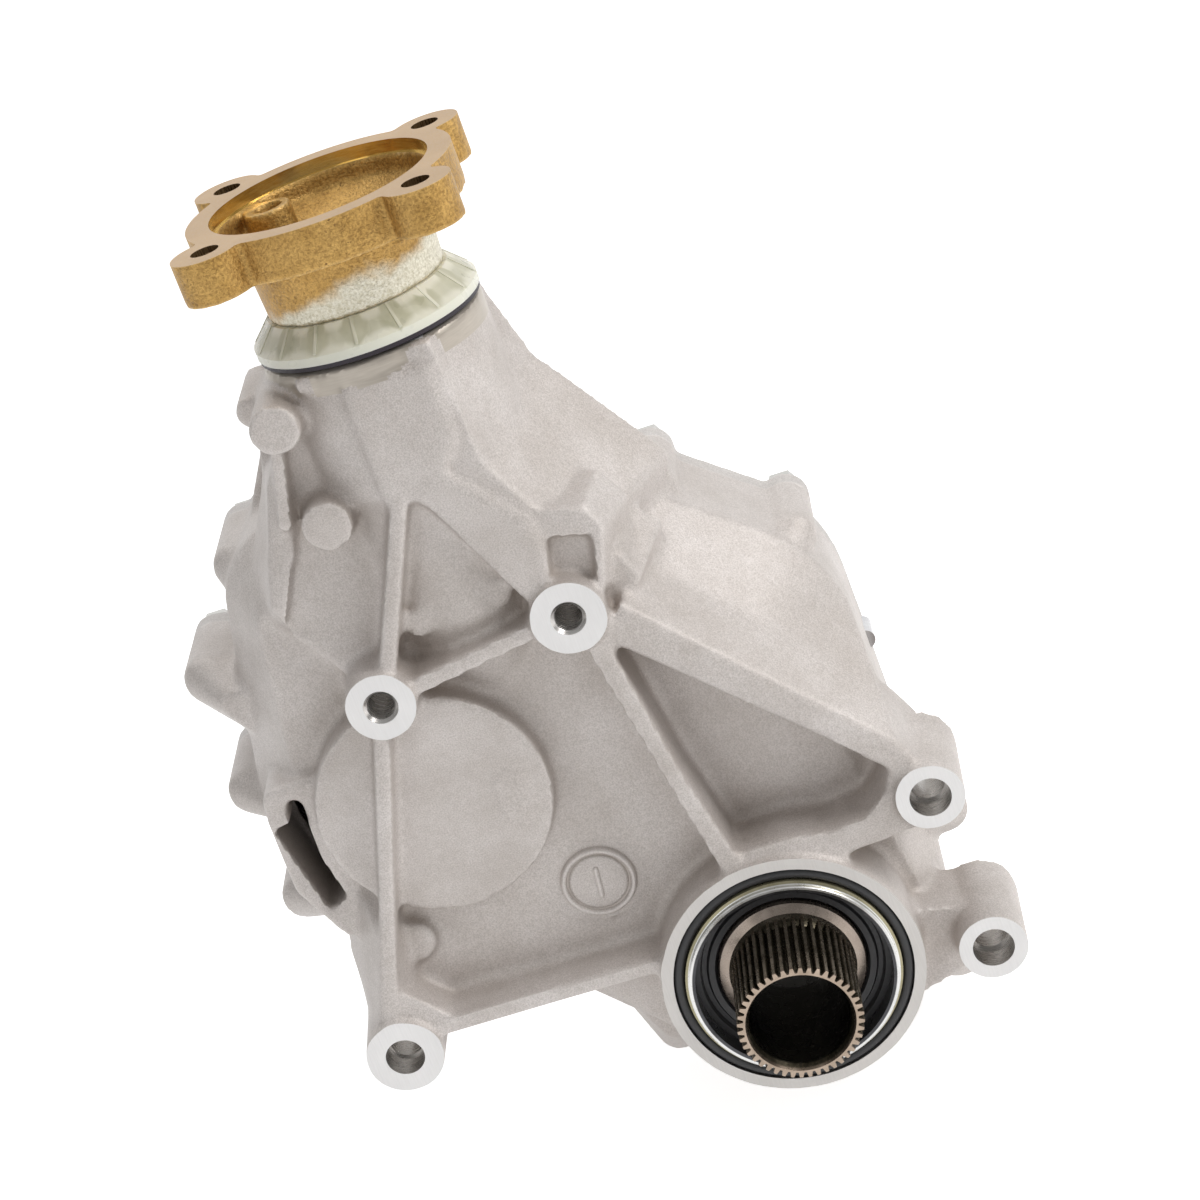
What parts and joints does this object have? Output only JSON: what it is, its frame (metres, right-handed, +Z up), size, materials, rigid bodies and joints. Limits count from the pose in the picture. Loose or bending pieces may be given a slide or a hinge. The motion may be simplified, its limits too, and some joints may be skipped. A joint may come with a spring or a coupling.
{
  "type": "transfer case",
  "caption": "Cast aluminium right-angle transfer case with splined hollow input, internal spur train and hypoid pair, and an upright four-eared output flange.",
  "frame": {"origin": "centre of the input bore on the mounting face", "axes": "-Y leaves the mounting face towards the gearbox along the input shaft; +Z runs up the output shaft towards its flange; +X completes the right-handed frame, towards the right-hand mounting bosses"},
  "size_m": [0.2784, 0.1768, 0.4097],
  "materials": {
    "cast_aluminium": "satin",
    "cover_aluminium": "satin",
    "bolt_zinc": "satin",
    "dowel_steel": "satin",
    "retainer_gold": "satin",
    "black_rubber": "matte",
    "seal_rubber": "matte",
    "spline_steel": "satin",
    "gear_steel": "satin",
    "bearing_steel": "polished",
    "flange_gold": "satin",
    "ring_plastic": "satin",
    "deflector_dark": "matte",
    "plug_steel": "satin",
    "breather_brass": "satin"
  },
  "bodies": {
    "housing": {"case": "cast_aluminium", "cover": "cover_aluminium", "cover_bolts": "bolt_zinc", "cover_dowels": "dowel_steel", "input_retainer": "retainer_gold", "input_oring": "black_rubber", "input_seal": "seal_rubber", "output_seal": "seal_rubber", "halfshaft_seal": "seal_rubber", "fill_plug": "plug_steel", "drain_plug": "plug_steel", "breather": "breather_brass", "input_front_bearing_cup": "bearing_steel", "input_rear_bearing_cup": "bearing_steel", "idler_front_bearing_cup": "bearing_steel", "idler_rear_bearing_cup": "bearing_steel", "transfer_front_bearing_cup": "bearing_steel", "transfer_rear_bearing_cup": "bearing_steel", "pinion_head_bearing_cup": "bearing_steel", "pinion_tail_bearing_cup": "bearing_steel"},
    "input_shaft_group": {"input_shaft": "spline_steel", "input_gear": "gear_steel", "input_front_bearing_cone": "bearing_steel", "input_rear_bearing_cone": "bearing_steel"},
    "idler_group": {"idler_shaft": "gear_steel", "idler_gear": "gear_steel", "idler_front_bearing_cone": "bearing_steel", "idler_rear_bearing_cone": "bearing_steel"},
    "transfer_group": {"transfer_shaft": "gear_steel", "transfer_gear": "gear_steel", "ring_gear": "gear_steel", "ring_gear_bolts": "bolt_zinc", "transfer_front_bearing_cone": "bearing_steel", "transfer_rear_bearing_cone": "bearing_steel"},
    "output_group": {"pinion_shaft": "gear_steel", "pinion_head_bearing_cone": "bearing_steel", "pinion_tail_bearing_cone": "bearing_steel", "collapsible_spacer": "gear_steel", "output_flange": "flange_gold", "dust_ring": "ring_plastic", "deflector_ring": "deflector_dark", "pinion_nut": "bolt_zinc"}
  },
  "joints": [
    {"name": "transfer_spin", "type": "hinge", "parent": "housing", "child": "transfer_group", "pos_m": [-0.105, 0, 0.105], "axis": [0, 1, 0], "continuous": true},
    {"name": "input_spin", "type": "hinge", "parent": "housing", "child": "input_shaft_group", "pos_m": [0, 0, 0], "axis": [0, 1, 0], "continuous": true},
    {"name": "idler_spin", "type": "hinge", "parent": "housing", "child": "idler_group", "pos_m": [-0.00513, 0, 0.09987], "axis": [0, 1, 0], "continuous": true},
    {"name": "output_spin", "type": "hinge", "parent": "housing", "child": "output_group", "pos_m": [-0.068, 0.045, 0], "axis": [0, 0, 1], "continuous": true}
  ],
  "couplings": [
    {"joint": "input_spin", "follows": "transfer_spin", "ratio": 1},
    {"joint": "idler_spin", "follows": "transfer_spin", "ratio": -1},
    {"joint": "output_spin", "follows": "transfer_spin", "ratio": -2.5}
  ]
}
